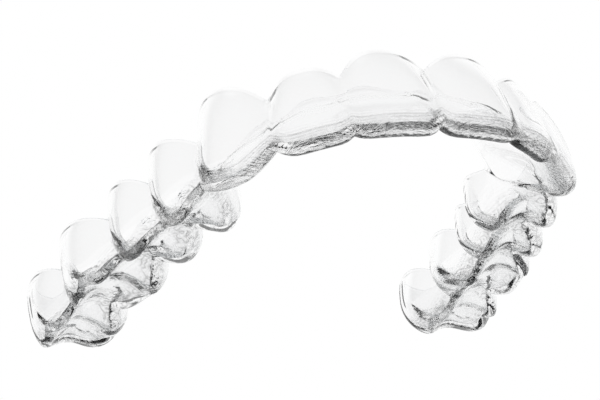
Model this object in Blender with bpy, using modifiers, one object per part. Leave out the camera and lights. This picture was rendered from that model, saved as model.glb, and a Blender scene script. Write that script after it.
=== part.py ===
# Clear aligner for the upper teeth: one thin clear sheet formed over fourteen teeth.
# Metres, +Z towards the gums. The arch opens towards +Y, the front teeth face -Y, and the
# tray rests on its cusps at Z = 0. The origin is under the middle of its bounding box.

import bpy
import bmesh
import numpy as np

mm = 0.001

# sheet
wallThickness = 0.66 * mm       # a 0.75 mm sheet, thinned by the forming
valleyRadius = 0.45 * mm        # how far the sheet bridges the grooves between teeth
ridgeRadius = 0.50 * mm         # rounding of the cusp tips along the arch
restFlat = 0.15 * mm            # depth of the small flats on the cusps that touch the table
sheetColour = (0.93, 0.95, 0.96, 1.0)

# arch line through the incisal edges and outer cusps, seen from below
archHalfWidth = 25.0 * mm
archDepth = 56.2 * mm
archSquareness = 2.635          # 2 is an ellipse, more is squarer

# The left arm isn't quite the mirror image of the right one: across its molars it lies a
# little further out, is a little wider, and ends a little sooner.
leftOut = 0.20 * mm
leftWide = 0.95 * mm
leftShort = 0.65 * mm
leftFrom = 17.0 * mm            # distance behind the front teeth where this begins
leftTo = 33.0 * mm              # and where it is full
leftInside = 17.0 * mm          # distance from the midline of the arm's inner side

# Cross sections, from the outer trim line over the biting edge to the inner trim line.
# Each point is (offset, height): the offset is a share of the tooth's depth, outwards from
# the arch line, and the height a share of the crown, from the biting edge to the trim line.
incisorProfile = [
    (-0.085, 1.00), (-0.015, 0.86), (0.060, 0.62), (0.090, 0.27), (0.070, 0.045), (-0.050, 0.0),
    (-0.190, 0.020), (-0.285, 0.20), (-0.415, 0.45), (-0.590, 0.66), (-0.760, 0.79),
    (-0.850, 0.90), (-0.880, 1.00)]
canineProfile = [
    (0.020, 1.00), (0.095, 0.86), (0.175, 0.63), (0.215, 0.33), (0.180, 0.075), (0.085, 0.0),
    (-0.060, 0.080), (-0.190, 0.28), (-0.345, 0.50), (-0.530, 0.66), (-0.700, 0.79),
    (-0.780, 0.90), (-0.800, 1.00)]
premolarProfile = [
    (0.060, 1.00), (0.095, 0.86), (0.120, 0.62), (0.090, 0.28), (-0.030, 0.0), (-0.170, 0.17),
    (-0.300, 0.31), (-0.450, 0.22), (-0.625, 0.055), (-0.800, 0.27), (-0.860, 0.52),
    (-0.840, 0.78), (-0.800, 1.00)]
molarProfile = [
    (0.120, 1.00), (0.145, 0.86), (0.155, 0.62), (0.125, 0.26), (0.030, 0.030), (-0.125, 0.22),
    (-0.275, 0.34), (-0.420, 0.20), (-0.570, 0.0), (-0.740, 0.22), (-0.810, 0.48),
    (-0.790, 0.78), (-0.745, 1.00)]

# Teeth from the midline back, in millimetres. width runs along the arch and depth across it.
# edge is the height of the biting edge over the resting plane, gumOuter and gumInner the trim
# line's highest points, papillaOuter and papillaInner its lowest, between this tooth and its
# neighbours, and zenith the place of the highest outer point. shoulderFront and shoulderBack
# are how far the edge has risen at either neighbour, edgePower how late it rises, insetOuter
# and insetInner how far the walls step in there, and flatness how late they do.
# cuspsOuter and cuspsInner give each cusp as (share of the width, extra height), and groove is
# the rise of the ridge between two cusps.
teeth = [
    dict(name="central_incisor", profile=incisorProfile, width=8.43, depth=7.3, edge=1.50,
         gumOuter=10.1, gumInner=9.5, papillaOuter=8.4, papillaInner=8.3,
         shoulderFront=1.4, shoulderBack=0.6, edgePower=6.0, zenith=0.52,
         insetOuter=0.6, insetInner=1.1, flatness=4.0,
         cuspsOuter=[(0.50, 0.0)], cuspsInner=[(0.50, 0.0)], groove=0.0),
    dict(name="lateral_incisor", profile=incisorProfile, width=7.14, depth=6.6, edge=1.30,
         gumOuter=9.2, gumInner=8.6, papillaOuter=7.8, papillaInner=7.6,
         shoulderFront=0.6, shoulderBack=0.7, edgePower=4.0, zenith=0.52,
         insetOuter=0.7, insetInner=1.0, flatness=3.2,
         cuspsOuter=[(0.45, 0.0)], cuspsInner=[(0.50, 0.0)], groove=0.0),
    dict(name="canine", profile=canineProfile, width=8.10, depth=8.6, edge=-0.04,
         gumOuter=10.1, gumInner=8.6, papillaOuter=7.4, papillaInner=7.0,
         shoulderFront=2.3, shoulderBack=2.1, edgePower=1.5, zenith=0.62,
         insetOuter=1.4, insetInner=1.3, flatness=2.2,
         cuspsOuter=[(0.45, 0.0)], cuspsInner=[(0.50, 0.0)], groove=0.0),
    dict(name="first_premolar", profile=premolarProfile, width=6.95, depth=9.6, edge=0.15,
         gumOuter=8.3, gumInner=6.8, papillaOuter=6.4, papillaInner=5.5,
         shoulderFront=1.9, shoulderBack=1.9, edgePower=1.3, zenith=0.56,
         insetOuter=1.7, insetInner=1.8, flatness=2.0,
         cuspsOuter=[(0.50, 0.0)], cuspsInner=[(0.46, 0.0)], groove=0.0),
    dict(name="second_premolar", profile=premolarProfile, width=6.83, depth=9.5, edge=-0.05,
         gumOuter=7.8, gumInner=6.5, papillaOuter=6.0, papillaInner=5.3,
         shoulderFront=1.9, shoulderBack=1.8, edgePower=1.3, zenith=0.56,
         insetOuter=1.7, insetInner=1.8, flatness=2.0,
         cuspsOuter=[(0.50, 0.0)], cuspsInner=[(0.46, 0.0)], groove=0.0),
    dict(name="first_molar", profile=molarProfile, width=10.50, depth=10.6, edge=0.05,
         gumOuter=7.8, gumInner=7.0, papillaOuter=5.8, papillaInner=5.4,
         shoulderFront=1.6, shoulderBack=1.6, edgePower=1.4, zenith=0.60,
         insetOuter=1.8, insetInner=1.9, flatness=2.2,
         cuspsOuter=[(0.27, 0.20), (0.74, 0.40)], cuspsInner=[(0.36, 0.0), (0.78, 0.70)],
         groove=0.9),
    dict(name="second_molar", profile=molarProfile, width=9.45, depth=10.2, edge=-0.18,
         gumOuter=7.2, gumInner=6.9, papillaOuter=5.5, papillaInner=5.2,
         shoulderFront=1.5, shoulderBack=0.5, edgePower=1.4, zenith=0.5,
         insetOuter=1.7, insetInner=1.9, flatness=2.2,
         cuspsOuter=[(0.28, 0.10), (0.64, 0.00)], cuspsInner=[(0.34, 0.0), (0.66, 0.30)],
         groove=0.8),
]
profileCount = len(incisorProfile)
grooveRow = profileCount // 2

trimPower = 2.4                 # 2 is a round scallop at each tooth, more is squarer
backTrim = 6.6 * mm             # height of the trim line behind the last molar
backLean = 0.80                 # share of the last molar's length that its biting end keeps

# mesh density
columnsPerTooth = [9, 9, 10, 10, 10, 13, 7]
endColumns = 7                  # round the back of the last molar
rowsPerHalf = 8


def softAbs(value, radius):
    """Distance with a rounded bottom, so a V between two teeth becomes a narrow U."""
    return np.sqrt(value * value + radius * radius) - radius


def ease(t):
    return t * t * (3.0 - 2.0 * t)


def archLine(samples=3000):
    """The superellipse of the arch with its running length, for one side."""
    angle = np.linspace(0.0, np.pi / 2, samples)
    x = archHalfWidth * np.sin(angle) ** (2 / archSquareness)
    y = archDepth * (1.0 - np.cos(angle) ** (2 / archSquareness))
    run = np.concatenate([[0.0], np.cumsum(np.hypot(np.diff(x), np.diff(y)))])
    return x, y, run


def middleSection(tooth):
    """Control points of the section through the middle of a tooth, in metres."""
    points = np.array(tooth["profile"])
    points[:, 0] *= tooth["depth"]
    outer = tooth["gumOuter"] - tooth["edge"]
    inner = tooth["gumInner"] - tooth["edge"]
    crown = np.full(profileCount, inner)
    crown[:grooveRow] = outer
    points[:, 1] = tooth["edge"] + points[:, 1] * crown
    return points * mm


# how much of the inset and of the shoulder each control point takes between two teeth
insetShare = np.array([0.75, 0.95, 1.05, 0.85, 0.65, 0.15, 0.0, 0.15, 0.5, 0.9, 1.05, 0.95, 0.8])
frontInsetShare = np.array([0.8, 0.95, 1.0, 0.62, 0.3, 0.0, 0.0, 0.0, 0.15, 0.6, 1.0, 1.0, 0.9])
shoulderShare = np.array([0.0, 0.0, 0.0, 0.0, 1.2, 0.25, 0.1, 0.4, 1.1, 0.0, 0.0, 0.0, 0.0])
frontShoulderShare = np.array([0.0, 0.0, 0.0, 0.0, 0.9, 1.0, 0.9, 0.5, 0.2, 0.0, 0.0, 0.0, 0.0])
sideSign = np.sign(grooveRow - np.arange(profileCount))


def betweenSection(front, back):
    """Control points of the section in the groove between two teeth, in metres."""
    points = (middleSection(front) + middleSection(back)) / 2
    heights = points[:, 1].copy()

    def mean(key):
        return (front[key] + back[key]) / 2 * mm

    thin = [tooth["profile"] in (incisorProfile, canineProfile) for tooth in (front, back)]
    frontShare = sum(thin) / 2
    inset = np.where(sideSign > 0, mean("insetOuter"), mean("insetInner"))
    points[:, 0] -= sideSign * inset * (insetShare * (1 - frontShare) + frontInsetShare * frontShare)
    shoulder = (front["shoulderBack"] + back["shoulderFront"]) / 2 * mm
    points[:, 1] += shoulder * (shoulderShare * (1 - frontShare) + frontShoulderShare * frontShare)
    for ridge, rows, papilla in ((4, (0, 1, 2, 3), "papillaOuter"), (8, (9, 10, 11, 12), "papillaInner")):
        trim = 0 if ridge == 4 else profileCount - 1
        for row in rows:
            share = (heights[row] - heights[ridge]) / (heights[trim] - heights[ridge])
            points[row, 1] = points[ridge, 1] + (mean(papilla) - points[ridge, 1]) * share
    return points


def cuspRise(t, tooth, cusps):
    """(share of the shoulder, height over the edge) at the share t of the tooth's width."""
    radius = ridgeRadius / (tooth["width"] * mm)
    first, last = cusps[0], cusps[-1]
    if t < first[0]:
        share = softAbs(first[0] - t, radius) / softAbs(first[0], radius)
        return share ** tooth["edgePower"], first[1] * mm
    if t > last[0]:
        share = softAbs(t - last[0], radius) / softAbs(1.0 - last[0], radius)
        return share ** tooth["edgePower"], last[1] * mm
    along = (t - first[0]) / max(last[0] - first[0], 1e-9)
    height = first[1] * (1 - along) + last[1] * along
    return 0.0, (height + tooth["groove"] * np.sin(np.pi * along) ** 2) * mm


def sectionAt(index, t):
    """Control points at the share t of one tooth's width."""
    tooth = teeth[index]
    width = tooth["width"] * mm
    before = teeth[max(index - 1, 0)]
    after = teeth[min(index + 1, len(teeth) - 1)]
    gap = betweenSection(before, tooth) * (1 - ease(t)) + betweenSection(tooth, after) * ease(t)
    middle = middleSection(tooth)
    inwards = 1.0 - softAbs(min(t, 1 - t) * width, valleyRadius) / softAbs(width / 2, valleyRadius)
    wide = 1.0 - inwards ** tooth["flatness"]
    arched = np.full(profileCount, 1.0 - inwards ** trimPower)
    zenith = tooth["zenith"]
    near = t / zenith if t < zenith else (1 - t) / (1 - zenith)
    arched[:3] = 1.0 - (1.0 - near) ** trimPower
    points = gap.copy()
    points[:, 0] += (middle[:, 0] - gap[:, 0]) * wide
    points[:, 1] += (middle[:, 1] - gap[:, 1]) * arched
    for rows, cusps, share in (((4,), "cuspsOuter", 1.0), ((5,), "cuspsOuter", 0.6),
                               ((8,), "cuspsInner", 1.0), ((7,), "cuspsInner", 0.6)):
        if tooth["profile"] in (incisorProfile, canineProfile) and cusps == "cuspsInner":
            continue
        fall, rise = cuspRise(t, tooth, tooth[cusps])
        for row in rows:
            low = middle[row, 1] + rise * share
            points[row, 1] = low + (gap[row, 1] - low) * fall
    if tooth["profile"] in (incisorProfile, canineProfile):
        fall, rise = cuspRise(t, tooth, tooth["cuspsOuter"])
        points[6, 1] = middle[6, 1] + (gap[6, 1] - middle[6, 1]) * fall
    return points


def throughPoints(points, stops):
    """Smooth curve through the control points, read at the stops (whole numbers are points)."""
    chord = np.sqrt(np.linalg.norm(np.diff(points, axis=0), axis=1))
    slope = np.zeros_like(points)
    rate = np.diff(points, axis=0) / chord[:, None]
    slope[1:-1] = (rate[:-1] * chord[1:, None] + rate[1:] * chord[:-1, None])
    slope[1:-1] /= (chord[:-1] + chord[1:])[:, None]
    slope[0] = 1.5 * rate[0] - 0.5 * slope[1]
    slope[-1] = 1.5 * rate[-1] - 0.5 * slope[-2]
    curve = []
    for stop in stops:
        k = min(int(stop), len(points) - 2)
        f = stop - k
        h = chord[k]
        curve.append((2 * f**3 - 3 * f**2 + 1) * points[k] + (f**3 - 2 * f**2 + f) * h * slope[k]
                     + (3 * f**2 - 2 * f**3) * points[k + 1] + (f**3 - f**2) * h * slope[k + 1])
    return np.array(curve)


def archFrames(runs):
    """Place, backward direction and outward direction on the arch line at each running length."""
    x, y, run = archLine()
    step = 0.05 * mm
    frames = []
    for at in runs:
        place = np.array([np.interp(at, run, x), np.interp(at, run, y)])
        ahead = np.array([np.interp(at + step, run, x), np.interp(at + step, run, y)])
        behind = np.array([np.interp(at - step, run, x), np.interp(at - step, run, y)])
        along = (ahead - behind) / np.linalg.norm(ahead - behind)
        if at < step:
            along = np.array([1.0, 0.0])
        frames.append((place, along, np.array([along[1], -along[0]])))
    return frames


def columnShares(count):
    """Shares of a tooth's width, closer together towards the grooves on either side."""
    even = np.linspace(0.0, 1.0, count + 1)
    return 0.5 * even + 0.5 * (0.5 - 0.5 * np.cos(np.pi * even))


def halfSheet():
    """Grid of points over the teeth of one side, column by column."""
    stops = np.linspace(0, profileCount - 1, 2 * rowsPerHalf + 1)
    starts = np.concatenate([[0.0], np.cumsum([tooth["width"] for tooth in teeth])]) * mm
    columns = []
    for index, tooth in enumerate(teeth):
        shares = columnShares(columnsPerTooth[index])
        if index == len(teeth) - 1:
            shares = np.linspace(0.0, 1.0, 2 * columnsPerTooth[index] + 1)
            shares = shares[shares <= tooth["cuspsInner"][-1][0]]
        else:
            shares = shares[:-1]
        for t in shares:
            at = starts[index] + t * tooth["width"] * mm
            place, along, outwards = archFrames([at])[0]
            section = throughPoints(sectionAt(index, t), stops)
            columns.append([np.array([*(place + outwards * b), z]) for b, z in section])
        lastShare, lastRun = t, at
    # the sheet turns round the back of the last molar and closes on its middle line
    tooth = teeth[-1]
    place, along, outwards = archFrames([lastRun])[0]
    section = sectionAt(len(teeth) - 1, lastShare)
    centre = section[grooveRow, 0]
    length = (1.0 - lastShare) * tooth["width"] * mm
    back = betweenSection(tooth, dict(tooth, shoulderFront=tooth["shoulderBack"]))
    for ridge, rows in ((4, (0, 1, 2, 3)), (8, (9, 10, 11, 12))):
        trim = 0 if ridge == 4 else profileCount - 1
        for row in rows:
            share = (back[row, 1] - back[ridge, 1]) / (back[trim, 1] - back[ridge, 1])
            if row != trim:
                back[row, 1] = back[ridge, 1] + (backTrim - back[ridge, 1]) * share
        back[trim, 1] = backTrim
    lean = np.interp(back[:, 1], [back[4, 1], backTrim], [backLean, 1.0])
    for step in range(1, endColumns + 1):
        turn = step / endColumns * np.pi / 2
        share = ease(step / endColumns)
        points = section.copy()
        reach = np.abs(section[:, 0] - centre)
        backReach = length * reach / max(reach[:3].max(), 1e-9)
        backReach = np.minimum(backReach, length) * lean
        z = section[:, 1] * (1 - share) + back[:, 1] * share
        mirrored = (z + z[::-1]) / 2
        z = z * (1 - share) + mirrored * share
        z[grooveRow] = section[grooveRow, 1]
        reachBack = (backReach + backReach[::-1]) / 2
        flatPoints = np.stack([reach * np.cos(turn) * sideSign, reachBack * np.sin(turn), z], 1)
        curve = throughPoints(flatPoints, stops)
        columns.append([np.array([*(place + outwards * (centre + b) + along * r), h])
                        for b, r, h in curve])
    return np.array(columns)


def leftArm(half):
    """The half sheet as it is on the left side, which differs a little from the right one."""
    share = ease(np.clip((half[:, :, 1] - leftFrom) / (leftTo - leftFrom), 0.0, 1.0))
    across = np.clip((half[:, :, 0] - leftInside) / (archHalfWidth - leftInside), 0.0, 1.0)
    left = half.copy()
    left[:, :, 0] += share * (leftOut + leftWide * across)
    left[:, :, 1] -= share * leftShort
    return left


def wholeSheet():
    """Grid of points over all the teeth, from the back of the right arm to that of the left."""
    half = halfSheet()
    half[0, :, 0] = 0.0
    right = half[:0:-1] * np.array([-1.0, 1.0, 1.0])
    grid = np.concatenate([right, leftArm(half)])
    grid[:, :, :2] -= (grid[:, :, :2].min(axis=(0, 1)) + grid[:, :, :2].max(axis=(0, 1))) / 2
    grid[:, :, 2] -= grid[:, :, 2].min() + restFlat
    return grid


def buildSheet():
    """The outside of the sheet as an open surface, thickened inwards by its modifiers."""
    grid = wholeSheet()
    columns, rows, _ = grid.shape
    mesh = bpy.data.meshes.new("aligner_shell")
    faces = [(c * rows + r, (c + 1) * rows + r, (c + 1) * rows + r + 1, c * rows + r + 1)
             for c in range(columns - 1) for r in range(rows - 1)]
    mesh.from_pydata(grid.reshape(-1, 3).tolist(), [], faces)
    form = bmesh.new()
    form.from_mesh(mesh)
    bmesh.ops.remove_doubles(form, verts=form.verts, dist=0.01 * mm)
    bmesh.ops.recalc_face_normals(form, faces=form.faces)
    form.to_mesh(mesh)
    form.free()
    mesh.shade_smooth()
    sheet = bpy.data.objects.new("aligner_shell", mesh)
    thicken = sheet.modifiers.new("wall", "SOLIDIFY")
    thicken.thickness = wallThickness
    thicken.offset = -1.0
    thicken.use_even_offset = False
    level = sheet.modifiers.new("level_cusps", "BOOLEAN")
    level.operation = "DIFFERENCE"
    level.solver = "EXACT"
    level.object = tableCutter()
    return sheet


def tableCutter():
    """Box under Z = 0 that cuts the lowest cusps level, each to a small flat."""
    depth = 4 * restFlat
    form = bmesh.new()
    bmesh.ops.create_cube(form, size=1.0)
    bmesh.ops.scale(form, vec=(3 * archHalfWidth, 2 * archDepth, depth), verts=form.verts)
    bmesh.ops.translate(form, vec=(0, 0, -depth / 2), verts=form.verts)
    mesh = bpy.data.meshes.new("table_cutter")
    form.to_mesh(mesh)
    form.free()
    cutter = bpy.data.objects.new("table_cutter", mesh)
    cutter.hide_render = True
    cutter.display_type = "WIRE"
    cutterCollection.objects.link(cutter)
    return cutter


def clearPlastic():
    material = bpy.data.materials.new("clear_plastic")
    material.use_nodes = True
    shader = material.node_tree.nodes["Principled BSDF"]
    shader.inputs["Base Color"].default_value = sheetColour
    shader.inputs["Roughness"].default_value = 0.06
    shader.inputs["Metallic"].default_value = 0.0
    shader.inputs["IOR"].default_value = 1.5
    shader.inputs["Transmission Weight"].default_value = 1.0
    return material


for item in list(bpy.data.objects):
    bpy.data.objects.remove(item)

partCollection = bpy.data.collections.new("clear_aligner")
bpy.context.scene.collection.children.link(partCollection)
cutterCollection = bpy.data.collections.new("cutters")
bpy.context.scene.collection.children.link(cutterCollection)
alignerShell = buildSheet()
alignerShell.data.materials.append(clearPlastic())
partCollection.objects.link(alignerShell)
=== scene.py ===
import math

import bpy
import numpy as np
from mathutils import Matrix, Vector


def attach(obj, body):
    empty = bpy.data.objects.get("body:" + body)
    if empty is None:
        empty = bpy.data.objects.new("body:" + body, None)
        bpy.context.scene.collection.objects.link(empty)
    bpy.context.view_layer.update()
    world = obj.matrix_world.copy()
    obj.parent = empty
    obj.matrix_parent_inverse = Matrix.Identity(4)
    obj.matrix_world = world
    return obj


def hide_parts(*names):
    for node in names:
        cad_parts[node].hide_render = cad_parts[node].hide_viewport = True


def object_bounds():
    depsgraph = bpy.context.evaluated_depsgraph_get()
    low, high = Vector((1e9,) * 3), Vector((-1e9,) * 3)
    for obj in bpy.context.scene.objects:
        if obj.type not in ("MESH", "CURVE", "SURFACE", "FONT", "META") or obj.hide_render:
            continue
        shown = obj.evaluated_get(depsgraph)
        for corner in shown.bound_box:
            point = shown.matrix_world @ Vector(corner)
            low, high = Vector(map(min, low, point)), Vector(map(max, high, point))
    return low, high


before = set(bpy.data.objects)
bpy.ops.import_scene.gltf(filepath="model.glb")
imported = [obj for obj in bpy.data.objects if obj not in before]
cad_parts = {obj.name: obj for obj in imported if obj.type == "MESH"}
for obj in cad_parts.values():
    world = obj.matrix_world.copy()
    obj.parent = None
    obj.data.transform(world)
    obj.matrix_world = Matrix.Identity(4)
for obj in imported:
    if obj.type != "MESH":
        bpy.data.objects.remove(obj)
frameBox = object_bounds()
print("frame loaded")

mm = 0.001

# The sheet. Lengths are in millimetres; the shape is the frame's own, sampled finer.
sheet = dict(
    thickness=0.95,          # over the biting edges
    wallThickness=0.58,      # where the forming has drawn it thinner
    drawnFrom=0.4,           # height over the biting edge where it begins to thin
    drawnTo=3.0,             # and where it has thinned
    rimRound=0.12,           # rounding of the trimmed edge
    # points across that edge: share of the way in, share of the rounding's height
    rimSteps=[(0.06, 0.55), (0.22, 0.93), (0.5, 1.0), (0.78, 0.93), (0.94, 0.55)],
    middle=(0.575, 22.0929), # where the frame's origin and table lie on the arch as drawn
    lowest=0.1654,
    tipRound=0.22,           # how softly the lowest cusps meet the table
    tipReach=6.0,            # height up to which they are let down on it
    insideOff=0.3,           # least way in of the inside from the frame box's low sides
    foldLimit=0.35,          # cosine between the two skins where the inside counts as folded
    foldNear=0.02,           # share of folded points nearby from which a point is relaxed
    foldRounds=40,
    leftOut=0.20,            # how the left arm differs from the right one's mirror image
    leftWide=0.95,
    leftShort=0.65,
    leftFrom=17.0,
    leftTo=33.0,
    leftInside=17.0,
    archHalfWidth=25.0,
    archDepth=56.2,
    archSquareness=2.635,
    valleyRadius=0.45,
    ridgeRadius=0.50,
    besideRise=0.6,          # share of a cusp's rise that the points beside its ridge have
    trimPower=2.4,
    backTrim=6.6,
    backLean=0.80,
    endNotch=0.9,            # dip between the last cusps
    softening=2,
    normalSoftening=3,
    columns=[36, 34, 36, 34, 34, 50, 27],
    endColumns=26,
    rowsPerStop=5,
    # where the finishes and the painted shade begin and are full: y, or share of the way across
    # the sheet
    backTeeth=(-15.0, -10.0),
    tongueSide=(0.45, 0.55),
    underFrom=(0.385, 0.45),  # the underside of the front teeth's biting edges, where a line of painted shade lies
    underTo=(0.51, 0.56),     # where it ends
    underBack=(-17.5, -15.5), # it ends before the canines
)

# Cross sections from the outer trim line over the biting edge to the inner one: share of the
# tooth's depth outwards from the arch line, share of the crown's height.
incisorProfile = [
    (-0.085, 1.00), (-0.015, 0.86), (0.060, 0.62), (0.090, 0.27), (0.070, 0.045), (-0.050, 0.0),
    (-0.190, 0.020), (-0.285, 0.20), (-0.415, 0.45), (-0.590, 0.66), (-0.760, 0.79),
    (-0.850, 0.90), (-0.880, 1.00)]
canineProfile = [
    (0.020, 1.00), (0.095, 0.86), (0.175, 0.63), (0.215, 0.33), (0.180, 0.075), (0.085, 0.0),
    (-0.060, 0.080), (-0.190, 0.28), (-0.345, 0.50), (-0.530, 0.66), (-0.700, 0.79),
    (-0.780, 0.90), (-0.800, 1.00)]
premolarProfile = [
    (0.060, 1.00), (0.095, 0.86), (0.120, 0.62), (0.090, 0.28), (-0.030, 0.0), (-0.170, 0.17),
    (-0.300, 0.31), (-0.450, 0.22), (-0.625, 0.055), (-0.800, 0.27), (-0.860, 0.52),
    (-0.840, 0.78), (-0.800, 1.00)]
molarProfile = [
    (0.120, 1.00), (0.145, 0.86), (0.155, 0.62), (0.125, 0.26), (0.030, 0.030), (-0.125, 0.22),
    (-0.275, 0.34), (-0.420, 0.20), (-0.570, 0.0), (-0.740, 0.22), (-0.810, 0.48),
    (-0.790, 0.78), (-0.745, 1.00)]

# From the midline back. Trim heights and papillae are (outer, inner), shoulders (front, back),
# insets (outer, inner), and a cusp is (share of the width, extra height).
teeth = [
    dict(profile=incisorProfile, width=8.43, depth=7.3, edge=1.50, gum=(10.1, 9.5),
         papilla=(8.4, 8.3), shoulder=(1.4, 0.6), edgePower=6.0, zenith=0.52, inset=(0.6, 1.1),
         flatness=4.0, cusps=([(0.50, 0.0)], [(0.50, 0.0)]), groove=0.0),
    dict(profile=incisorProfile, width=7.14, depth=6.6, edge=1.30, gum=(9.2, 8.6),
         papilla=(7.8, 7.6), shoulder=(0.6, 0.7), edgePower=4.0, zenith=0.52, inset=(0.7, 1.0),
         flatness=3.2, cusps=([(0.45, 0.0)], [(0.50, 0.0)]), groove=0.0),
    dict(profile=canineProfile, width=8.10, depth=8.6, edge=-0.04, gum=(10.1, 8.6),
         papilla=(7.4, 7.0), shoulder=(2.3, 2.1), edgePower=1.5, zenith=0.62, inset=(1.4, 1.3),
         flatness=2.2, cusps=([(0.45, 0.0)], [(0.50, 0.0)]), groove=0.0),
    dict(profile=premolarProfile, width=6.95, depth=9.6, edge=0.15, gum=(8.3, 6.8),
         papilla=(6.4, 5.5), shoulder=(1.9, 1.9), edgePower=1.3, zenith=0.56, inset=(1.7, 1.8),
         flatness=2.0, cusps=([(0.50, 0.0)], [(0.46, 0.0)]), groove=0.0),
    dict(profile=premolarProfile, width=6.83, depth=9.5, edge=-0.05, gum=(7.8, 6.5),
         papilla=(6.0, 5.3), shoulder=(1.9, 1.8), edgePower=1.3, zenith=0.56, inset=(1.7, 1.8),
         flatness=2.0, cusps=([(0.50, 0.0)], [(0.46, 0.0)]), groove=0.0),
    dict(profile=molarProfile, width=10.50, depth=10.6, edge=0.05, gum=(7.8, 7.0),
         papilla=(5.8, 5.4), shoulder=(1.6, 1.6), edgePower=1.4, zenith=0.60, inset=(1.8, 1.9),
         flatness=2.2, cusps=([(0.27, 0.20), (0.74, 0.40)], [(0.36, 0.0), (0.78, 0.70)]),
         groove=0.9),
    dict(profile=molarProfile, width=9.45, depth=10.2, edge=-0.18, gum=(7.2, 6.9),
         papilla=(5.5, 5.2), shoulder=(1.5, 0.5), edgePower=1.4, zenith=0.5, inset=(1.7, 1.9),
         flatness=2.2, cusps=([(0.28, 0.10), (0.64, 0.00)], [(0.34, 0.0), (0.66, 0.30)]),
         groove=0.8),
]

# How far each point of a section goes with its inset, its shoulder or the dip at the back end.
insetShare = np.array([0.75, 0.95, 1.05, 0.85, 0.65, 0.15, 0.0, 0.15, 0.5, 0.9, 1.05, 0.95, 0.8])
frontInsetShare = np.array([0.8, 0.95, 1.0, 0.62, 0.3, 0.0, 0.0, 0.0, 0.15, 0.6, 1.0, 1.0, 0.9])
shoulderShare = np.array([0.0, 0.0, 0.0, 0.0, 1.2, 0.25, 0.1, 0.4, 1.1, 0.0, 0.0, 0.0, 0.0])
frontShoulderShare = np.array([0.0, 0.0, 0.0, 0.0, 0.9, 1.0, 0.9, 0.5, 0.2, 0.0, 0.0, 0.0, 0.0])
endNotchShare = np.array([0.0, 0.0, 0.2, 0.6, 1.0, 0.8, 0.3, 0.8, 1.0, 0.6, 0.2, 0.0, 0.0])

# A section's 13 points run from the outer trim line over the middle to the inner trim line.
stopCount = 13
middleStop = 6
walls = [
    dict(trim=0, rows=(1, 2, 3), ridge=4, beside=5),
    dict(trim=12, rows=(9, 10, 11), ridge=8, beside=7),
]
sideSign = np.sign(middleStop - np.arange(stopCount))


def softAbs(value, radius):
    return np.sqrt(value * value + radius * radius) - radius


def ease(t):
    return t * t * (3.0 - 2.0 * t)


def fade(value, start, end):
    # 0 up to the start, 1 from the end on, and smooth between them
    return ease(np.clip((value - start) / (end - start), 0.0, 1.0))


def archLine(samples=3000):
    angle = np.linspace(0.0, np.pi / 2, samples)
    x = sheet["archHalfWidth"] * np.sin(angle) ** (2 / sheet["archSquareness"])
    y = sheet["archDepth"] * (1.0 - np.cos(angle) ** (2 / sheet["archSquareness"]))
    run = np.concatenate([[0.0], np.cumsum(np.hypot(np.diff(x), np.diff(y)))])
    return x, y, run


def middleSection(tooth):
    points = np.array(tooth["profile"])
    points[:, 0] *= tooth["depth"]
    crown = np.full(stopCount, tooth["gum"][1] - tooth["edge"])
    crown[:middleStop] = tooth["gum"][0] - tooth["edge"]
    points[:, 1] = tooth["edge"] + points[:, 1] * crown
    return points


def isFront(tooth):
    return tooth["profile"] in (incisorProfile, canineProfile)


def betweenSection(front, back):
    # the section at the contact of two teeth, drawn in from both
    points = (middleSection(front) + middleSection(back)) / 2
    heights = points[:, 1].copy()
    frontShare = (isFront(front) + isFront(back)) / 2
    outer = (front["inset"][0] + back["inset"][0]) / 2
    inner = (front["inset"][1] + back["inset"][1]) / 2
    inset = np.where(sideSign > 0, outer, inner)
    share = insetShare * (1 - frontShare) + frontInsetShare * frontShare
    points[:, 0] -= sideSign * inset * share
    shoulder = (front["shoulder"][1] + back["shoulder"][0]) / 2
    share = shoulderShare * (1 - frontShare) + frontShoulderShare * frontShare
    points[:, 1] += shoulder * share
    for side, wall in enumerate(walls):
        trim, ridge = wall["trim"], wall["ridge"]
        papilla = (front["papilla"][side] + back["papilla"][side]) / 2
        for row in (trim, *wall["rows"]):
            share = (heights[row] - heights[ridge]) / (heights[trim] - heights[ridge])
            points[row, 1] = points[ridge, 1] + (papilla - points[ridge, 1]) * share
    return points


def cuspRise(t, tooth, cusps):
    # share of a ridge's fall to the contact, and its extra height
    radius = sheet["ridgeRadius"] / tooth["width"]
    first, last = cusps[0], cusps[-1]
    if t < first[0]:
        share = softAbs(first[0] - t, radius) / softAbs(first[0], radius)
        return share ** tooth["edgePower"], first[1]
    if t > last[0]:
        share = softAbs(t - last[0], radius) / softAbs(1.0 - last[0], radius)
        return share ** tooth["edgePower"], last[1]
    along = (t - first[0]) / max(last[0] - first[0], 1e-9)
    height = first[1] * (1 - along) + last[1] * along
    return 0.0, height + tooth["groove"] * np.sin(np.pi * along) ** 2


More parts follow.
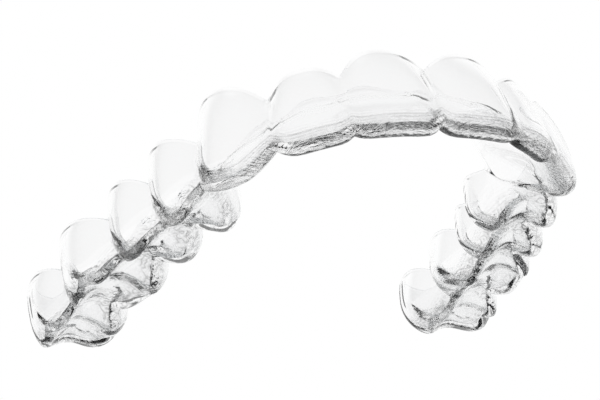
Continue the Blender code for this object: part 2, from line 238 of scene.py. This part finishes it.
def sectionAt(index, t):
    # the section of a tooth at a share of its width
    tooth = teeth[index]
    width = tooth["width"]
    before = teeth[max(index - 1, 0)]
    after = teeth[min(index + 1, len(teeth) - 1)]
    gap = betweenSection(before, tooth) * (1 - ease(t)) + betweenSection(tooth, after) * ease(t)
    middle = middleSection(tooth)
    valley = sheet["valleyRadius"]
    inwards = 1.0 - softAbs(min(t, 1 - t) * width, valley) / softAbs(width / 2, valley)
    wide = 1.0 - inwards ** tooth["flatness"]
    arched = np.full(stopCount, 1.0 - inwards ** sheet["trimPower"])
    # the top of the outer wall is highest at the tooth's zenith
    zenith = tooth["zenith"]
    near = t / zenith if t < zenith else (1 - t) / (1 - zenith)
    arched[:3] = 1.0 - (1.0 - near) ** sheet["trimPower"]
    points = gap.copy()
    points[:, 0] += (middle[:, 0] - gap[:, 0]) * wide
    points[:, 1] += (middle[:, 1] - gap[:, 1]) * arched
    for side, wall in enumerate(walls):
        if isFront(tooth) and side == 1:
            continue
        fall, rise = cuspRise(t, tooth, tooth["cusps"][side])
        for row, part in ((wall["ridge"], 1.0), (wall["beside"], sheet["besideRise"])):
            low = middle[row, 1] + rise * part
            points[row, 1] = low + (gap[row, 1] - low) * fall
    if isFront(tooth):
        # a front tooth has one edge, at the middle
        fall, rise = cuspRise(t, tooth, tooth["cusps"][0])
        low = middle[middleStop, 1]
        points[middleStop, 1] = low + (gap[middleStop, 1] - low) * fall
    return points


def throughPoints(points, stops):
    # smooth curve through the control points, read at every stop at once
    chord = np.sqrt(np.linalg.norm(np.diff(points, axis=0), axis=1))
    rate = np.diff(points, axis=0) / chord[:, None]
    slope = np.zeros_like(points)
    slope[1:-1] = rate[:-1] * chord[1:, None] + rate[1:] * chord[:-1, None]
    slope[1:-1] /= (chord[:-1] + chord[1:])[:, None]
    slope[0] = 1.5 * rate[0] - 0.5 * slope[1]
    slope[-1] = 1.5 * rate[-1] - 0.5 * slope[-2]
    k = np.minimum(stops.astype(int), len(points) - 2)
    f = (stops - k)[:, None]
    h = chord[k][:, None]
    return ((2 * f**3 - 3 * f**2 + 1) * points[k] + (f**3 - 2 * f**2 + f) * h * slope[k]
            + (3 * f**2 - 2 * f**3) * points[k + 1] + (f**3 - f**2) * h * slope[k + 1])


def archPlace(at, line):
    x, y, run = line
    step = 0.05
    place = np.array([np.interp(at, run, x), np.interp(at, run, y)])
    ahead = np.array([np.interp(at + step, run, x), np.interp(at + step, run, y)])
    behind = np.array([np.interp(at - step, run, x), np.interp(at - step, run, y)])
    along = (ahead - behind) / np.linalg.norm(ahead - behind)
    if at < step:
        along = np.array([1.0, 0.0])
    return place, along, np.array([along[1], -along[0]])


def halfGrid():
    # one side of the arch, column by column from the midline, in millimetres
    line = archLine()
    stops = np.linspace(0, stopCount - 1, (stopCount - 1) * sheet["rowsPerStop"] + 1)
    starts = np.concatenate([[0.0], np.cumsum([tooth["width"] for tooth in teeth])])
    columns = []
    for index, tooth in enumerate(teeth):
        count = sheet["columns"][index]
        even = np.linspace(0.0, 1.0, count + 1)
        # half even, half gathered at the contacts
        shares = (0.5 * even + 0.5 * (0.5 - 0.5 * np.cos(np.pi * even)))[:-1]
        if index == len(teeth) - 1:
            # the last tooth stops at its last cusp, and the rounded end takes over
            shares = np.linspace(0.0, 1.0, 2 * count + 1)
            shares = shares[shares <= tooth["cusps"][1][-1][0]]
        for t in shares:
            at = starts[index] + t * tooth["width"]
            place, along, outwards = archPlace(at, line)
            section = throughPoints(sectionAt(index, t), stops)
            columns.append(np.column_stack([place + outwards * section[:, :1], section[:, 1]]))
    return np.array(columns + roundedEnd(shares[-1], place, along, outwards, stops))


def roundedEnd(lastShare, place, along, outwards, stops):
    # the back of the last tooth, turned round from either wall to the middle
    tooth = teeth[-1]
    section = sectionAt(len(teeth) - 1, lastShare)
    centre = section[middleStop, 0]
    length = (1.0 - lastShare) * tooth["width"]
    back = betweenSection(tooth, dict(tooth, shoulder=(tooth["shoulder"][1],) * 2))
    for wall in walls:
        trim, ridge = wall["trim"], wall["ridge"]
        for row in wall["rows"]:
            share = (back[row, 1] - back[ridge, 1]) / (back[trim, 1] - back[ridge, 1])
            back[row, 1] = back[ridge, 1] + (sheet["backTrim"] - back[ridge, 1]) * share
        back[trim, 1] = sheet["backTrim"]
    outerRidge = back[walls[0]["ridge"], 1]
    lean = np.interp(back[:, 1], [outerRidge, sheet["backTrim"]], [sheet["backLean"], 1.0])
    reach = np.abs(section[:, 0] - centre)
    backReach = np.minimum(length * reach / reach[:3].max(), length) * lean
    backReach = (backReach + backReach[::-1]) / 2
    columns = []
    for step in range(1, sheet["endColumns"] + 1):
        share = step / sheet["endColumns"]
        turn = share * np.pi / 2
        share = ease(share)
        z = section[:, 1] * (1 - share) + back[:, 1] * share
        z = z * (1 - share) + (z + z[::-1]) / 2 * share
        z[middleStop] = section[middleStop, 1]
        z += sheet["endNotch"] * share ** 2 * endNotchShare
        flat = np.stack([reach * np.cos(turn) * sideSign, backReach * np.sin(turn), z], 1)
        curve = throughPoints(flat, stops)
        spot = place + outwards * (centre + curve[:, :1]) + along * curve[:, 1:2]
        columns.append(np.column_stack([spot, curve[:, 2]]))
    return columns


def leftArm(half):
    # the left arm lies a little further out, is a little wider and ends a little sooner
    share = fade(half[:, :, 1], sheet["leftFrom"], sheet["leftTo"])
    across = half[:, :, 0] - sheet["leftInside"]
    across = np.clip(across / (sheet["archHalfWidth"] - sheet["leftInside"]), 0.0, 1.0)
    left = half.copy()
    left[:, :, 0] += share * (sheet["leftOut"] + sheet["leftWide"] * across)
    left[:, :, 1] -= share * sheet["leftShort"]
    return left


def smoothAlong(values, times):
    # averages each point of a grid with its neighbours along both directions
    for _ in range(times):
        padded = np.pad(values, ((1, 1), (1, 1), (0, 0)), mode="edge")
        values = (4 * values + padded[:-2, 1:-1] + padded[2:, 1:-1]
                  + padded[1:-1, :-2] + padded[1:-1, 2:]) / 8
    return values


def gridNormals(grid):
    alongColumns = np.gradient(grid, axis=0)
    alongRows = np.gradient(grid, axis=1)
    normals = np.cross(alongRows, alongColumns)
    return normals / np.maximum(np.linalg.norm(normals, axis=2, keepdims=True), 1e-12)


def relaxFolds(outer, inner):
    # where the inside would fold over itself at a tight edge, it is relaxed to a crease
    for _ in range(sheet["foldRounds"]):
        folded = (gridNormals(inner) * gridNormals(outer)).sum(2) < sheet["foldLimit"]
        if not folded.any():
            break
        near = smoothAlong(folded[:, :, None].astype(float), 2) > sheet["foldNear"]
        inner = np.where(near, smoothAlong(inner, 1), inner)
    print("folded points left inside:", int(folded.sum()))
    return inner


def buildSheet():
    half = halfGrid()
    half[0, :, 0] = 0.0
    right = half[:0:-1] * np.array([-1.0, 1.0, 1.0])
    outer = np.concatenate([right, leftArm(half)])
    outer -= np.array([*sheet["middle"], sheet["lowest"]])
    # the trim line and the two ends stay as drawn
    softened = smoothAlong(outer, sheet["softening"])
    outer[2:-2, 3:-3] = softened[2:-2, 3:-3]
    # the normals point out of the sheet, which is forwards on the front teeth
    normals = gridNormals(outer)
    if normals[len(outer) // 2, 3, 1] > 0:
        normals = -normals
    for end in (0, -1):
        normals[end] = (normals[end] + normals[end, ::-1]) / 2
    normals = smoothAlong(normals, sheet["normalSoftening"])
    normals /= np.linalg.norm(normals, axis=2, keepdims=True)
    bite = outer[:, :, 2] - outer[:, :, 2].min(axis=1, keepdims=True)
    drawn = fade(bite, sheet["drawnFrom"], sheet["drawnTo"])[:, :, None]
    thick = sheet["thickness"] + (sheet["wallThickness"] - sheet["thickness"]) * drawn
    # the lowest cusps meet the table softly
    z = outer[:, :, 2]
    z = (z + np.sqrt(z * z + 4 * sheet["tipRound"] ** 2)) / 2
    outer[:, :, 2] = z - z.min() * np.clip(1 - z / sheet["tipReach"], 0, 1)
    inner = relaxFolds(outer, outer - normals * thick)
    # nothing leaves the frame's box
    low, high = (np.array(corner) / mm for corner in frameBox)
    return np.clip(outer, low, high), np.clip(inner, low + sheet["insideOff"], high), bite


def roundRim(outer, inner, loop):
    # rounds the trimmed edge inside the sheet's own height, and returns the points across it
    rounding = sheet["rimRound"]
    lastRow = outer.shape[1] - 1
    rimPoints = []
    for column, row in loop:
        nextRow = 1 if row == 0 else lastRow - 1
        up = outer[column, row] - outer[column, nextRow]
        up /= np.linalg.norm(up)
        for across, height in sheet["rimSteps"]:
            edge = outer[column, row] * (1 - across) + inner[column, row] * across
            rimPoints.append(edge - up * rounding * (1 - height))
        outer[column, row] -= up * rounding
        inner[column, row] -= up * rounding
    return np.array(rimPoints)


def sheetFaces(columns, rows, loop):
    # the outer skin's points come first, then the inner skin's, then those of the cut edge
    count = columns * rows
    index = np.arange(count).reshape(columns, rows)
    for end in (0, columns - 1):
        # the last column at either end is closed on itself
        for row in range(rows // 2 + 1, rows):
            index[end, row] = index[end, rows - 1 - row]
    faces = []
    for c in range(columns - 1):
        for r in range(rows - 1):
            a, b, d, e = index[c, r], index[c + 1, r], index[c + 1, r + 1], index[c, r + 1]
            faces.append((a, e, d, b))
            faces.append((a + count, b + count, d + count, e + count))
    steps = len(sheet["rimSteps"])
    crossings = []
    for k, place in enumerate(loop):
        first = 2 * count + k * steps
        crossings.append([index[place], *range(first, first + steps), index[place] + count])
    for here, there in zip(crossings, crossings[1:] + crossings[:1]):
        for s in range(steps + 1):
            faces.append((here[s], there[s], there[s + 1], here[s + 1]))
    # a point that a face would have twice counts once
    faces = [tuple(dict.fromkeys(int(v) for v in face)) for face in faces]
    return [face for face in faces if len(face) > 2]


def finishMaps(outer, bite):
    # where each finish lies on the sheet, for its materials, with the runs along and across in mm
    columns, rows, _ = outer.shape
    y = outer[:, :, 1]
    acrossShare = np.arange(rows) / rows
    back = fade(y, *sheet["backTeeth"])
    tongueSide = fade(acrossShare, *sheet["tongueSide"])
    # under marks where the line of painted shade lies, under the front teeth's biting edges
    under = fade(acrossShare, *sheet["underFrom"]) * (1.0 - fade(acrossShare, *sheet["underTo"]))
    run = np.linalg.norm(np.diff(outer[:, rows // 2], axis=0), axis=1)
    run = np.concatenate([[0.0], np.cumsum(run)])
    width = np.linalg.norm(np.diff(outer, axis=1), axis=2)
    return dict(
        biteHeight=bite,
        front=1.0 - back,
        # behind the front teeth the print of the layers is polished away
        layered=1.0 - 0.5 * back - tongueSide * (1.0 - back),
        under=under * (1.0 - fade(y, *sheet["underBack"])),
        alongArch=np.repeat(run[:, None], rows, axis=1),
        acrossSheet=np.concatenate([np.zeros((columns, 1)), np.cumsum(width, axis=1)], axis=1),
    )


def sheetMesh():
    outer, inner, bite = buildSheet()
    columns, rows, _ = outer.shape
    count = columns * rows
    loop = [(c, 0) for c in range(columns)] + [(c, rows - 1) for c in range(columns - 2, 0, -1)]
    rimPoints = roundRim(outer, inner, loop)
    points = np.concatenate([outer.reshape(-1, 3), inner.reshape(-1, 3), rimPoints])
    faces = sheetFaces(columns, rows, loop)
    used = np.unique([v for face in faces for v in face])
    renumber = np.zeros(len(points), int)
    renumber[used] = np.arange(len(used))
    mesh = bpy.data.meshes.new("formed_sheet")
    mesh.from_pydata((points[used] * mm).tolist(), [],
                     [tuple(int(renumber[v]) for v in face) for face in faces])
    for name, values in finishMaps(outer, bite).items():
        # the same on both skins, and nothing on the cut edge
        values = np.concatenate([values.reshape(-1), values.reshape(-1), np.zeros(len(rimPoints))])
        layer = mesh.attributes.new(name, "FLOAT", "POINT")
        layer.data.foreach_set("value", values[used].astype(np.float32))
    # faces that touched the mould have the second material, and the cut edge the third
    finish = [2 if max(face) >= 2 * count else int(min(face) >= count) for face in faces]
    mesh.polygons.foreach_set("material_index", np.array(finish))
    mesh.update()
    mesh.shade_smooth()
    return mesh


# What shows in the clear plastic: smooth outside, and inside the print of the mould, with its
# layer lines beside the biting edges and a grain on the chewing surfaces. Streaks run along the
# front teeth's biting edges, and a bumpy dark line of painted shade lies under them; grey bands by
# height and scribbled loops on the back teeth are painted shade too. Lengths are in mm. A tint is
# how much a pattern darkens the colour, a fade is where it begins and where it is full, and tones
# are (height over the biting edge, brightness of the colour), a painted shade.
plastic = dict(
    colour=(0.992, 0.993, 0.995),
    ior=1.50,
    shadow=(0.86, 0.88, 0.89, 1.0),
    outside=dict(
        name="clear_gloss_outside", roughness=0.02,
        printed=0.2,             # how much of the mould's print shows on this side
        wobble=0.20,             # how far the tones' heights wander
        # painted shade: how dark the loops and the line under the front teeth make the plastic
        loopTint=0.60, underShadeTint=0.995,
        # painted shade: grey bands by height over the biting edge
        frontShadeTones=[(0.0, 0.95), (0.22, 0.85), (0.30, 0.45), (0.38, 0.90), (0.50, 1.0)],
        backShadeTones=[(0.0, 0.95), (0.45, 1.0)]),
    inside=dict(
        name="clear_satin_inside", roughness=0.04,
        printed=1.0,
        wobble=0.07,
        # painted shade: how dark the loops and the line under the front teeth make the plastic
        loopTint=0.12, underShadeTint=0.0,
        # painted shade: grey bands by height over the biting edge
        frontShadeTones=[(0.0, 0.90), (0.60, 0.97), (1.45, 0.97), (1.55, 0.70), (1.68, 0.98),
                    (2.0, 1.0)],
        backShadeTones=[(0.0, 0.98), (1.5, 1.0)]),
    wobbleSize=0.8,
    layerHeight=0.30,          # between two lines
    layerReach=2.3,            # up from the biting edge
    layerDepth=0.010,
    layerTint=0.42,
    waveSize=2.9,              # how the lines rise and fall
    waveHeight=0.5,            # in layers
    breakSize=1.7,             # where they break off
    breakFade=(0.35, 0.65),
    grainSize=0.42,
    grainStretch=2.5,          # how much longer than high a grain is
    grainReach=1.7,
    grainDepth=0.060,
    grainFade=(0.45, 0.62),
    grainTint=0.16,
    loopSize=0.75,             # scribbled loops of painted shade on the back teeth
    loopSwings=6.5,            # swings between clear and dark over the noise's range
    loopReach=1.0,
    streakSize=0.30,
    streakSquash=0.14,         # a streak's width over its length
    streakFade=(0.44, 0.60),
    streakReach=(0.9, 0.3),    # heights over the biting edge where they begin and are full
    streakDepth=0.035,
    streakTint=0.2,
    underSize=0.45,            # the bumps of the painted shade line under the front teeth
    underBumps=1.4,
    underFade=(0.45, 0.85),
    rimColour=(0.80, 0.82, 0.83, 1.0),
    rimRoughness=0.35,
    scuffSize=0.15,            # fine scuffs on the cut edge
    scuffDepth=0.02,
)


def nodeMath(tree, kind, a, b):
    node = tree.nodes.new("ShaderNodeMath")
    node.operation = kind
    for socket, value in zip(node.inputs, (a, b)):
        if isinstance(value, (int, float)):
            socket.default_value = value
        else:
            tree.links.new(value, socket)
    return node.outputs[0]


def noiseOf(tree, place, size, detail):
    noise = tree.nodes.new("ShaderNodeTexNoise")
    noise.inputs["Scale"].default_value = 1.0 / (size * mm)
    noise.inputs["Detail"].default_value = detail
    tree.links.new(place, noise.inputs["Vector"])
    return noise.outputs["Fac"]


def fadeOf(tree, value, start, end, smooth=False):
    node = tree.nodes.new("ShaderNodeMapRange")
    if smooth:
        node.interpolation_type = "SMOOTHSTEP"
    node.inputs["From Min"].default_value = start
    node.inputs["From Max"].default_value = end
    tree.links.new(value, node.inputs["Value"])
    return node.outputs[0]


def bumpOf(tree, height, depth, strength, below=None):
    bump = tree.nodes.new("ShaderNodeBump")
    bump.inputs["Distance"].default_value = depth * mm
    bump.inputs["Strength"].default_value = strength
    tree.links.new(height, bump.inputs["Height"])
    if below:
        tree.links.new(below, bump.inputs["Normal"])
    return bump.outputs["Normal"]


def toneOf(tree, height, tones):
    ramp = tree.nodes.new("ShaderNodeValToRGB")
    highest = tones[-1][0]
    while len(ramp.color_ramp.elements) < len(tones):
        ramp.color_ramp.elements.new(0.5)
    for element, (at, level) in zip(ramp.color_ramp.elements, tones):
        element.position = at / highest
        element.color = (level, level, level, 1.0)
    tree.links.new(nodeMath(tree, "MULTIPLY", height, 1.0 / highest), ramp.inputs[0])
    return ramp.outputs[0]


def attributeOf(tree, name):
    node = tree.nodes.new("ShaderNodeAttribute")
    node.attribute_name = name
    return node.outputs["Fac"]


def lessOf(tree, level, dark, share):
    # darkens a level by the dark pattern's share
    dark = nodeMath(tree, "MULTIPLY", dark, share)
    return nodeMath(tree, "MULTIPLY", level, nodeMath(tree, "SUBTRACT", 1.0, dark))


def mixOf(tree, amount, first, second):
    mix = tree.nodes.new("ShaderNodeMixShader")
    for socket, value in zip(mix.inputs, (amount, first, second)):
        tree.links.new(value, socket)
    return mix.outputs[0]


def layerLines(tree, place, bite):
    # the mould's layers as a relief, and the lines between them as a dark pattern
    height = nodeMath(tree, "MULTIPLY", bite, 1.0 / plastic["layerHeight"])
    wave = noiseOf(tree, place, plastic["waveSize"], 1.0)
    wave = nodeMath(tree, "MULTIPLY", wave, plastic["waveHeight"])
    layers = nodeMath(tree, "PINGPONG", nodeMath(tree, "ADD", height, wave), 0.5)
    layers = nodeMath(tree, "MULTIPLY", layers, 2.0)
    reach = fadeOf(tree, bite, plastic["layerReach"], plastic["layerReach"] * 0.5)
    reach = nodeMath(tree, "MULTIPLY", reach, attributeOf(tree, "layered"))
    broken = fadeOf(tree, noiseOf(tree, place, plastic["breakSize"], 2.0), *plastic["breakFade"])
    lines = nodeMath(tree, "MULTIPLY", nodeMath(tree, "POWER", layers, 3.0), reach)
    return nodeMath(tree, "MULTIPLY", layers, reach), nodeMath(tree, "MULTIPLY", lines, broken)


def mouldGrain(tree, place, bite):
    # the grain as a relief, and its specks as a dark pattern
    stretch = tree.nodes.new("ShaderNodeMapping")
    stretch.inputs["Scale"].default_value = (1.0, 1.0, plastic["grainStretch"])
    tree.links.new(place, stretch.inputs["Vector"])
    grain = noiseOf(tree, stretch.outputs[0], plastic["grainSize"], 2.0)
    reach = fadeOf(tree, bite, plastic["grainReach"], plastic["grainReach"] * 0.7)
    specks = nodeMath(tree, "MULTIPLY", fadeOf(tree, grain, *plastic["grainFade"]), reach)
    return nodeMath(tree, "MULTIPLY", grain, reach), specks


def edgeStreaks(tree, height, front):
    along = nodeMath(tree, "MULTIPLY", attributeOf(tree, "alongArch"),
                     plastic["streakSquash"] * mm)
    across = nodeMath(tree, "MULTIPLY", attributeOf(tree, "acrossSheet"), mm)
    spot = tree.nodes.new("ShaderNodeCombineXYZ")
    tree.links.new(along, spot.inputs["X"])
    tree.links.new(across, spot.inputs["Y"])
    streaks = noiseOf(tree, spot.outputs[0], plastic["streakSize"], 2.0)
    streaks = fadeOf(tree, streaks, *plastic["streakFade"])
    reach = fadeOf(tree, height, *plastic["streakReach"])
    return nodeMath(tree, "MULTIPLY", nodeMath(tree, "MULTIPLY", streaks, reach), front)


def underShadeLine(tree, place):
    # a bumpy dark line of painted shade under the front teeth's biting edges
    bumps = nodeMath(tree, "SUBTRACT", noiseOf(tree, place, plastic["underSize"], 2.0), 0.5)
    bumps = nodeMath(tree, "MULTIPLY", bumps, plastic["underBumps"])
    line = nodeMath(tree, "ADD", attributeOf(tree, "under"), bumps)
    return fadeOf(tree, line, *plastic["underFade"])


def scribbledShadeLoops(tree, place, height, front):
    # dark scribbled loops of painted shade over the back teeth's biting edges
    loops = noiseOf(tree, place, plastic["loopSize"], 0.0)
    loops = nodeMath(tree, "MULTIPLY", loops, plastic["loopSwings"])
    loops = nodeMath(tree, "POWER", nodeMath(tree, "PINGPONG", loops, 1.0), 2.0)
    reach = fadeOf(tree, height, plastic["loopReach"], plastic["loopReach"] * 0.7)
    reach = nodeMath(tree, "MULTIPLY", reach, nodeMath(tree, "SUBTRACT", 1.0, front))
    return nodeMath(tree, "MULTIPLY", loops, reach)


def biteShadeTones(tree, height, front, skin):
    # painted shade: brightness by height over the biting edge, mixed from front and back teeth
    frontLevel = toneOf(tree, height, skin["frontShadeTones"])
    backLevel = toneOf(tree, height, skin["backShadeTones"])
    more = nodeMath(tree, "SUBTRACT", frontLevel, backLevel)
    return nodeMath(tree, "ADD", nodeMath(tree, "MULTIPLY", more, front), backLevel)


def printAndPaintedShade(tree, shader, skin):
    # the patterns and the painted shade as a grey in the plastic, and the mould's print and the
    # streaks as bumps
    place = tree.nodes.new("ShaderNodeTexCoord").outputs["Object"]
    bite = attributeOf(tree, "biteHeight")
    front = attributeOf(tree, "front")
    shift = nodeMath(tree, "SUBTRACT", noiseOf(tree, place, plastic["wobbleSize"], 2.0), 0.5)
    shift = nodeMath(tree, "MULTIPLY", shift, skin["wobble"] * 2.0)
    height = nodeMath(tree, "ADD", bite, shift)
    layers, lines = layerLines(tree, place, bite)
    grain, specks = mouldGrain(tree, place, bite)
    streaks = edgeStreaks(tree, height, front)

    # painted shade: the grey by height over the biting edge
    level = biteShadeTones(tree, height, front, skin)
    level = lessOf(tree, level, streaks, plastic["streakTint"])
    # painted shade: the dark line under the front teeth
    if skin["underShadeTint"] > 0.0:
        level = lessOf(tree, level, underShadeLine(tree, place), skin["underShadeTint"])
    level = lessOf(tree, level, specks, plastic["grainTint"] * skin["printed"])
    level = lessOf(tree, level, lines, plastic["layerTint"] * skin["printed"])
    # painted shade in scribbled loops on the back teeth's biting edges
    loops = scribbledShadeLoops(tree, place, height, front)
    level = lessOf(tree, level, loops, skin["loopTint"])
    tint = tree.nodes.new("ShaderNodeMix")
    tint.data_type = "RGBA"
    tint.inputs["A"].default_value = (0.0, 0.0, 0.0, 1.0)
    tint.inputs["B"].default_value = (*plastic["colour"], 1.0)
    tree.links.new(level, tint.inputs["Factor"])
    tree.links.new(tint.outputs["Result"], shader.inputs["Base Color"])

    normal = bumpOf(tree, layers, plastic["layerDepth"], skin["printed"])
    normal = bumpOf(tree, grain, plastic["grainDepth"], skin["printed"], normal)
    normal = bumpOf(tree, streaks, plastic["streakDepth"], 1.0, normal)
    tree.links.new(normal, shader.inputs["Normal"])


def newMaterial(name):
    material = bpy.data.materials.new(name)
    material.use_nodes = True
    tree = material.node_tree
    return material, tree, tree.nodes["Principled BSDF"], tree.nodes["Material Output"]


def clearPlastic(skin):
    material, tree, shader, output = newMaterial(skin["name"])
    # the print and the painted shade link the colour, and an export that drops the link finds it
    # here
    shader.inputs["Base Color"].default_value = (*plastic["colour"], 1.0)
    shader.inputs["Roughness"].default_value = skin["roughness"]
    shader.inputs["IOR"].default_value = plastic["ior"]
    shader.inputs["Transmission Weight"].default_value = 1.0
    printAndPaintedShade(tree, shader, skin)
    # light reaches the floor through the clear sheet
    path = tree.nodes.new("ShaderNodeLightPath")
    through = tree.nodes.new("ShaderNodeBsdfTransparent")
    through.inputs["Color"].default_value = plastic["shadow"]
    surface = mixOf(tree, path.outputs["Is Shadow Ray"], shader.outputs[0], through.outputs[0])
    tree.links.new(surface, output.inputs["Surface"])
    return material


def cutRim():
    # the cut edge is satin from outside, and lets out the light that comes up inside the sheet
    material, tree, shader, output = newMaterial("satin_cut_rim")
    shader.inputs["Base Color"].default_value = plastic["rimColour"]
    shader.inputs["Roughness"].default_value = plastic["rimRoughness"]
    place = tree.nodes.new("ShaderNodeTexCoord").outputs["Object"]
    scuffs = noiseOf(tree, place, plastic["scuffSize"], 2.0)
    tree.links.new(bumpOf(tree, scuffs, plastic["scuffDepth"], 0.5), shader.inputs["Normal"])
    inside = tree.nodes.new("ShaderNodeNewGeometry").outputs["Backfacing"]
    shadow = tree.nodes.new("ShaderNodeLightPath").outputs["Is Shadow Ray"]
    clear = tree.nodes.new("ShaderNodeBsdfTransparent")
    unseen = nodeMath(tree, "MAXIMUM", inside, shadow)
    surface = mixOf(tree, unseen, shader.outputs[0], clear.outputs[0])
    tree.links.new(surface, output.inputs["Surface"])
    return material


formedSheet = bpy.data.objects.new("formed_sheet", sheetMesh())
bpy.context.scene.collection.objects.link(formedSheet)
for skin in (plastic["outside"], plastic["inside"]):
    formedSheet.data.materials.append(clearPlastic(skin))
formedSheet.data.materials.append(cutRim())
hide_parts("aligner_shell")
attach(formedSheet, "root")
formedSheet.data.calc_loop_triangles()
print("sheet made,", len(formedSheet.data.loop_triangles), "triangles")


# The floor is pale, and clear from below, because the photograph looks up at the tray.
floorSetup = dict(
    size=3.0,
    colour=(0.90, 0.90, 0.90, 1.0),
    roughness=0.7,
    whiteFrom=0.08,           # distance from the tray where it begins to fade into the backdrop
    whiteTo=0.30,
)


def floorMaterial():
    material, tree, shader, output = newMaterial("pale_floor")
    shader.inputs["Base Color"].default_value = floorSetup["colour"]
    shader.inputs["Roughness"].default_value = floorSetup["roughness"]
    away = tree.nodes.new("ShaderNodeVectorMath")
    away.operation = "LENGTH"
    tree.links.new(tree.nodes.new("ShaderNodeTexCoord").outputs["Object"], away.inputs[0])
    # it turns white far from the tray, but not for the light that it gives back
    diffuse = tree.nodes.new("ShaderNodeLightPath").outputs["Is Diffuse Ray"]
    far = fadeOf(tree, away.outputs["Value"], floorSetup["whiteFrom"], floorSetup["whiteTo"])
    white = nodeMath(tree, "MULTIPLY", nodeMath(tree, "SUBTRACT", 1.0, diffuse), far)
    backdrop = tree.nodes.new("ShaderNodeEmission")
    top = mixOf(tree, white, shader.outputs[0], backdrop.outputs[0])
    below = tree.nodes.new("ShaderNodeNewGeometry").outputs["Backfacing"]
    clear = tree.nodes.new("ShaderNodeBsdfTransparent")
    tree.links.new(mixOf(tree, below, top, clear.outputs[0]), output.inputs["Surface"])
    return material


reach = floorSetup["size"] / 2
corners = [(-reach, -reach, 0), (reach, -reach, 0), (reach, reach, 0), (-reach, reach, 0)]
floorMesh = bpy.data.meshes.new("floor")
floorMesh.from_pydata(corners, [], [(0, 1, 2, 3)])
floorMesh.materials.append(floorMaterial())
floor = bpy.data.objects.new("floor", floorMesh)
bpy.context.scene.collection.objects.link(floor)
print("floor made")


# Studio: white behind the tray and along the horizon, a darker room above, soft lamps.
studio = dict(
    backdrop=(0.43, 0.79, 0.43),     # direction of the white backdrop's middle
    backdropFade=(0.30, 0.60),       # cosines of the angles off it where it begins and is full
    horizonFade=(0.10, 0.03),        # sines of the heights where the pale horizon ends and is full
    ceilingFade=(0.93, 0.99),        # and where the bright ceiling begins and is full
    roomGrey=0.26,
    fillLevel=0.55,
    lamps=[
        dict(name="key", place=(-0.35, -0.30, 0.50), size=0.35, power=1.3),
        dict(name="fill", place=(0.45, -0.15, 0.40), size=0.40, power=0.6),
        dict(name="top", place=(0.05, 0.20, 0.70), size=0.50, power=0.9),
    ],
)


def studioWorld():
    world = bpy.data.worlds.new("studio")
    bpy.context.scene.world = world
    world.use_nodes = True
    tree = world.node_tree
    background = tree.nodes["Background"]
    background.inputs["Strength"].default_value = 1.0
    direction = tree.nodes.new("ShaderNodeTexCoord").outputs["Generated"]
    towards = tree.nodes.new("ShaderNodeVectorMath")
    towards.operation = "DOT_PRODUCT"
    towards.inputs[1].default_value = studio["backdrop"]
    tree.links.new(direction, towards.inputs[0])
    split = tree.nodes.new("ShaderNodeSeparateXYZ")
    tree.links.new(direction, split.inputs[0])
    backdrop = fadeOf(tree, towards.outputs["Value"], *studio["backdropFade"], smooth=True)
    horizon = fadeOf(tree, split.outputs["Z"], *studio["horizonFade"], smooth=True)
    ceiling = fadeOf(tree, split.outputs["Z"], *studio["ceilingFade"], smooth=True)
    pale = nodeMath(tree, "MAXIMUM", nodeMath(tree, "MAXIMUM", backdrop, horizon), ceiling)
    room = nodeMath(tree, "MULTIPLY", pale, 1.0 - studio["roomGrey"])
    room = nodeMath(tree, "ADD", room, studio["roomGrey"])
    # white when looked at, the room in gloss and glass, and an even fill on matt surfaces
    ray = tree.nodes.new("ShaderNodeLightPath").outputs
    glassy = nodeMath(tree, "MAXIMUM", ray["Is Glossy Ray"], ray["Is Transmission Ray"])
    level = nodeMath(tree, "MULTIPLY", glassy, room)
    level = nodeMath(tree, "MAXIMUM", level, ray["Is Camera Ray"])
    fill = nodeMath(tree, "MULTIPLY", ray["Is Diffuse Ray"], studio["fillLevel"])
    level = nodeMath(tree, "MAXIMUM", level, fill)
    combine = tree.nodes.new("ShaderNodeCombineColor")
    for socket in combine.inputs:
        tree.links.new(level, socket)
    tree.links.new(combine.outputs[0], background.inputs["Color"])


def addLamp(setup):
    data = bpy.data.lights.new(setup["name"], "AREA")
    data.shape = "DISK"
    data.size = setup["size"]
    data.energy = setup["power"]
    lamp = bpy.data.objects.new(setup["name"], data)
    lamp.location = setup["place"]
    lamp.rotation_euler = (-Vector(setup["place"])).to_track_quat("-Z", "Y").to_euler()
    lamp.visible_glossy = False
    lamp.visible_transmission = False
    bpy.context.scene.collection.objects.link(lamp)


studioWorld()
for setup in studio["lamps"]:
    addLamp(setup)
print("studio lit")


# The photograph's camera, below and in front on the right side of the mouth.
cameraSetup = dict(
    place=(-66.956, -115.060, -56.454),     # mm
    turn=(116.1793, 11.3910, -23.0974),     # degrees
    lens=89.044,
)
cameraData = bpy.data.cameras.new("camera")
cameraData.lens = cameraSetup["lens"]
cameraData.sensor_width = 36.0
cameraData.clip_start = 0.005
camera = bpy.data.objects.new("camera", cameraData)
camera.location = [value * mm for value in cameraSetup["place"]]
camera.rotation_euler = [math.radians(value) for value in cameraSetup["turn"]]
bpy.context.scene.collection.objects.link(camera)
bpy.context.scene.camera = camera
bpy.context.scene.view_settings.view_transform = "Standard"
print("camera placed")
